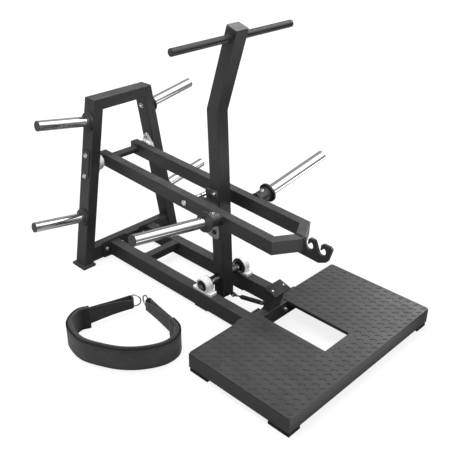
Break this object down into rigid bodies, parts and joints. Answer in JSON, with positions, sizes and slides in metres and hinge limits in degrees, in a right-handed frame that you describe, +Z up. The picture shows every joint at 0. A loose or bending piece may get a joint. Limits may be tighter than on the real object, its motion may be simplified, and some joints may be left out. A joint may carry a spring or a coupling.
{
  "type": "belt squat machine",
  "caption": "Plate-loaded belt squat machine: A-frame, lever arm with loading sleeves and double hook, swinging catch post with handle bar, slotted standing deck and a loose lifting belt.",
  "frame": {"origin": "middle of the part's footprint, on the floor; the belt beside the machine counts in the footprint", "axes": "+X from the rear frame towards the standing deck, +Y to the left of a person who stands on the deck with their back to the rear frame, +Z up"},
  "size_m": [1.6284, 1.4016, 1.3443],
  "materials": {
    "powder_coat": "matte charcoal powder coat",
    "deck_coat": "matte dark grey powder coat",
    "sleeve_chrome": "polished chrome plate",
    "bearing_housing": "bright silver coat on cast iron",
    "bright_steel": "bare or zinc-plated steel",
    "dark_steel": "satin black",
    "rubber": "matte black rubber",
    "plastic_cap": "matte grey plastic",
    "belt_fabric": "matte charcoal woven nylon over foam"
  },
  "bodies": {
    "frame": {"left_upright": "powder_coat", "right_upright": "powder_coat", "top_bar": "powder_coat", "rear_crossbar": "powder_coat", "left_foot_plate": "powder_coat", "right_foot_plate": "powder_coat", "left_upper_storage_horn": "sleeve_chrome", "right_upper_storage_horn": "sleeve_chrome", "left_lower_storage_horn": "sleeve_chrome", "right_lower_storage_horn": "sleeve_chrome", "left_arm_bearing": "bearing_housing", "right_arm_bearing": "bearing_housing", "left_bearing_backing_plate": "powder_coat", "right_bearing_backing_plate": "powder_coat", "left_rail": "powder_coat", "right_rail": "powder_coat", "cross_member": "powder_coat", "left_rear_flange": "powder_coat", "right_rear_flange": "powder_coat", "left_front_flange": "powder_coat", "right_front_flange": "powder_coat", "left_pillow_block": "bearing_housing", "right_pillow_block": "bearing_housing", "left_deck_beam": "deck_coat", "right_deck_beam": "deck_coat", "rear_deck_beam": "deck_coat", "front_deck_beam": "deck_coat", "tread_plate": "deck_coat", "left_rear_deck_foot": "rubber", "right_rear_deck_foot": "rubber", "left_front_deck_foot": "rubber", "right_front_deck_foot": "rubber", "pedestal": "powder_coat", "bumper_plate": "rubber", "strut_lug": "dark_steel"},
    "lever": {"left_lever_arm": "powder_coat", "right_lever_arm": "powder_coat", "left_nose_member": "powder_coat", "right_nose_member": "powder_coat", "hook_plate": "dark_steel", "lever_pivot_tube": "powder_coat", "lever_pivot_shaft": "bright_steel", "catch_pin": "bright_steel", "left_horn_stub": "powder_coat", "right_horn_stub": "powder_coat", "left_weight_horn": "sleeve_chrome", "right_weight_horn": "sleeve_chrome"},
    "swing_post": {"post": "powder_coat", "post_cap": "plastic_cap", "handle_bar": "powder_coat", "left_catch_plate": "bright_steel", "right_catch_plate": "bright_steel", "post_pivot_shaft": "dark_steel", "strut_clevis": "dark_steel"},
    "damper_body": {"strut_body": "dark_steel"},
    "damper_rod": {"strut_rod": "sleeve_chrome"},
    "belt": {"belt_pad": "belt_fabric", "belt_band": "belt_fabric"},
    "left_ring": {"left_belt_ring": "sleeve_chrome"},
    "right_ring": {"right_belt_ring": "sleeve_chrome"}
  },
  "joints": [
    {"name": "lever_swing", "type": "hinge", "parent": "frame", "child": "lever", "pos_m": [-0.76125, 0.08693, 0.553], "axis": [0, -1, 0], "range_deg": [0, 30]},
    {"name": "post_swing", "type": "hinge", "parent": "frame", "child": "swing_post", "pos_m": [-0.02025, 0.08693, 0.1305], "axis": [0, 1, 0], "range_deg": [0, 12]},
    {"name": "strut_turn", "type": "hinge", "parent": "frame", "child": "damper_body", "pos_m": [0.23545, 0.08693, 0.088], "axis": [0, -1, 0], "range_deg": [0, 2.3]},
    {"name": "strut_slide", "type": "slide", "parent": "damper_body", "child": "damper_rod", "axis": [-0.9752, 0, -0.2215], "range_m": [0, 0.0217]},
    {"name": "belt_lift", "type": "slide", "parent": "frame", "child": "belt", "axis": [0, 0, 1], "range_m": [0, 0.4]},
    {"name": "left_ring_turn", "type": "hinge", "parent": "belt", "child": "left_ring", "pos_m": [-0.24825, -0.30507, 0.058], "axis": [0, 0, 1], "range_deg": [-60, 100]},
    {"name": "right_ring_turn", "type": "hinge", "parent": "belt", "child": "right_ring", "pos_m": [-0.18225, -0.26307, 0.058], "axis": [0, 0, 1], "range_deg": [-90, 0]}
  ],
  "couplings": [
    {"joint": "strut_turn", "follows": "post_swing", "ratio": 0.19101},
    {"joint": "strut_slide", "follows": "post_swing", "m_per_rad": 0.10348}
  ]
}
